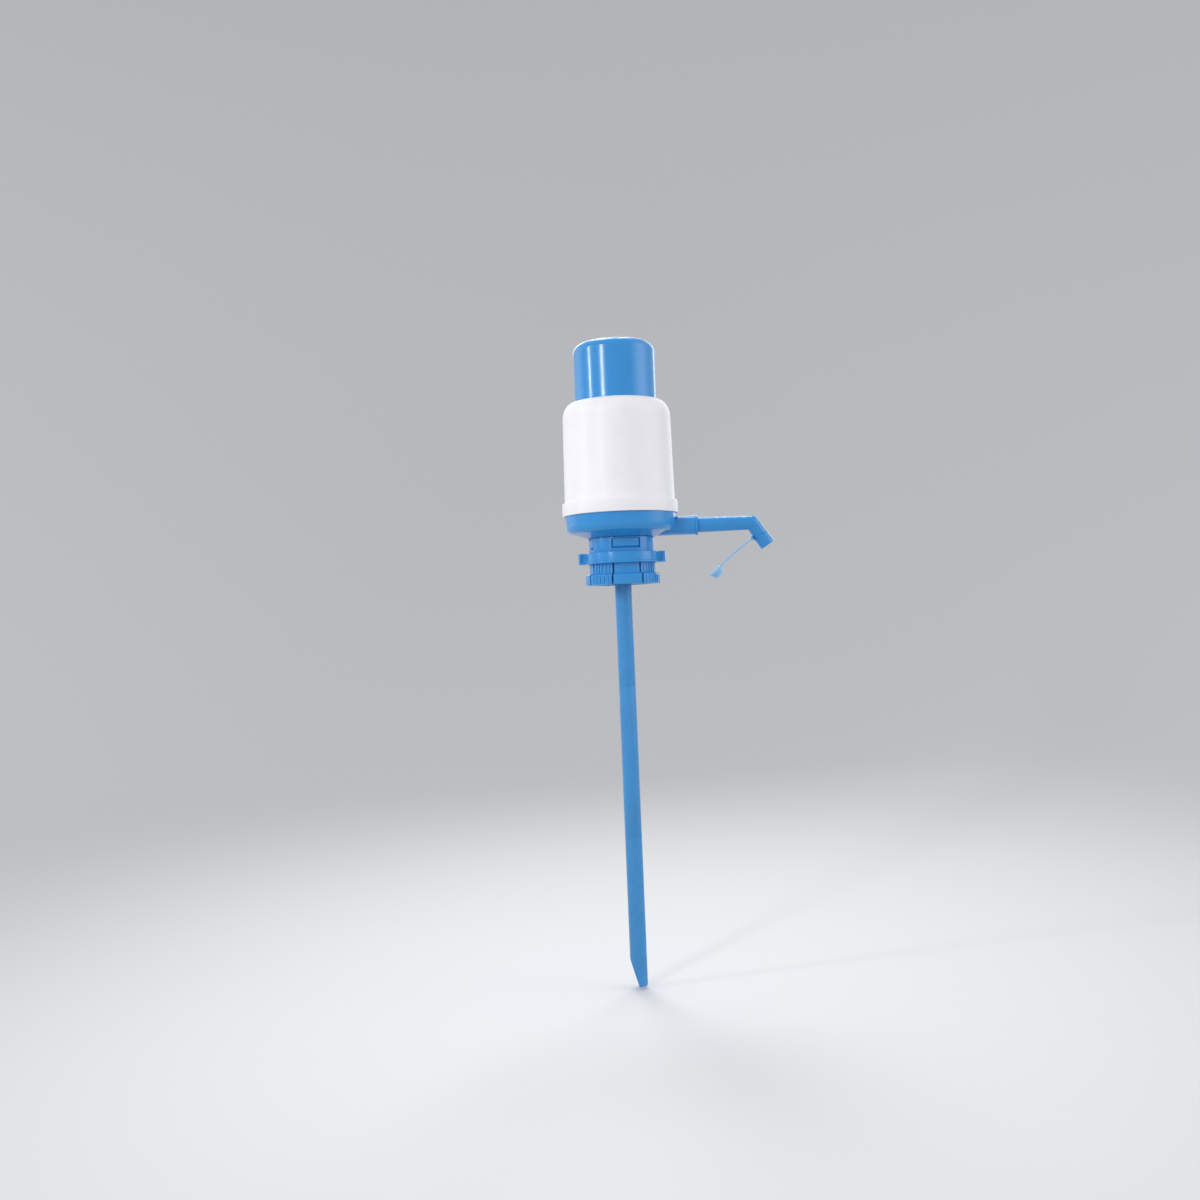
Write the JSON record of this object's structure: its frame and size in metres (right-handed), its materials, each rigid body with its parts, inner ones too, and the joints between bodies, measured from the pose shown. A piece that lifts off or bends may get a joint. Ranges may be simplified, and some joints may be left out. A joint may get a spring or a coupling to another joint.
{
  "type": "water jug hand pump",
  "caption": "Hand pump for a large water jug: press cap in a round housing, drum base with side spout, clamping neck collar with lock ring, and a long dip tube.",
  "frame": {"origin": "centre of the jug's lip where it seats against the neck seal", "axes": "+Z along the pump's axis towards the press cap, +X towards the spout; the dip tube runs down along -Z"},
  "size_m": [0.1993, 0.1098, 0.6105],
  "materials": {
    "blue_plastic": "glossy moulded blue polypropylene",
    "tube_plastic": "smooth extruded blue plastic",
    "stopper_plastic": "soft moulded blue plastic",
    "white_plastic": "satin gloss moulded white plastic",
    "soft_plastic": "milky flexible plastic",
    "rubber": "smooth moulded rubber",
    "spring_steel": "drawn stainless wire"
  },
  "bodies": {
    "pump_body": {"housing": "white_plastic", "valve_plate": "white_plastic", "outlet_valve": "rubber", "plate_seal": "rubber", "base": "blue_plastic", "neck_seal": "rubber", "clamp_collar": "blue_plastic", "bellows": "soft_plastic", "return_spring": "spring_steel", "bellows_retainer": "white_plastic", "tube_upper": "tube_plastic", "tube_middle": "tube_plastic", "tube_lower": "tube_plastic"},
    "cap": {"press_cap": "blue_plastic", "top_plate": "white_plastic", "inlet_valve": "rubber"},
    "ring": {"lock_ring": "blue_plastic"},
    "spout_arm": {"spout": "blue_plastic", "spout_seal": "rubber", "tether_ring": "stopper_plastic"},
    "stopper_strap": {"stopper": "stopper_plastic"}
  },
  "joints": [
    {"name": "cap_press", "type": "slide", "parent": "pump_body", "child": "cap", "axis": [0, 0, -1], "range_m": [0, 0.048], "stiffness_N_per_m": 600, "springref_m": -0.012, "deforming": ["bellows", "return_spring"]},
    {"name": "lock_ring_slide", "type": "slide", "parent": "pump_body", "child": "ring", "axis": [0, 0, 1], "range_m": [-0.0092, 0.0135]},
    {"name": "spout_swivel", "type": "hinge", "parent": "pump_body", "child": "spout_arm", "pos_m": [0.0533, 0, 0.016], "axis": [1, 0, 0], "continuous": true},
    {"name": "stopper_swing", "type": "hinge", "parent": "spout_arm", "child": "stopper_strap", "pos_m": [0.1239, 0, 0.00059], "axis": [0, 1, 0], "range_deg": [-50, 30], "stiffness_Nm_per_rad": 0.02}
  ]
}
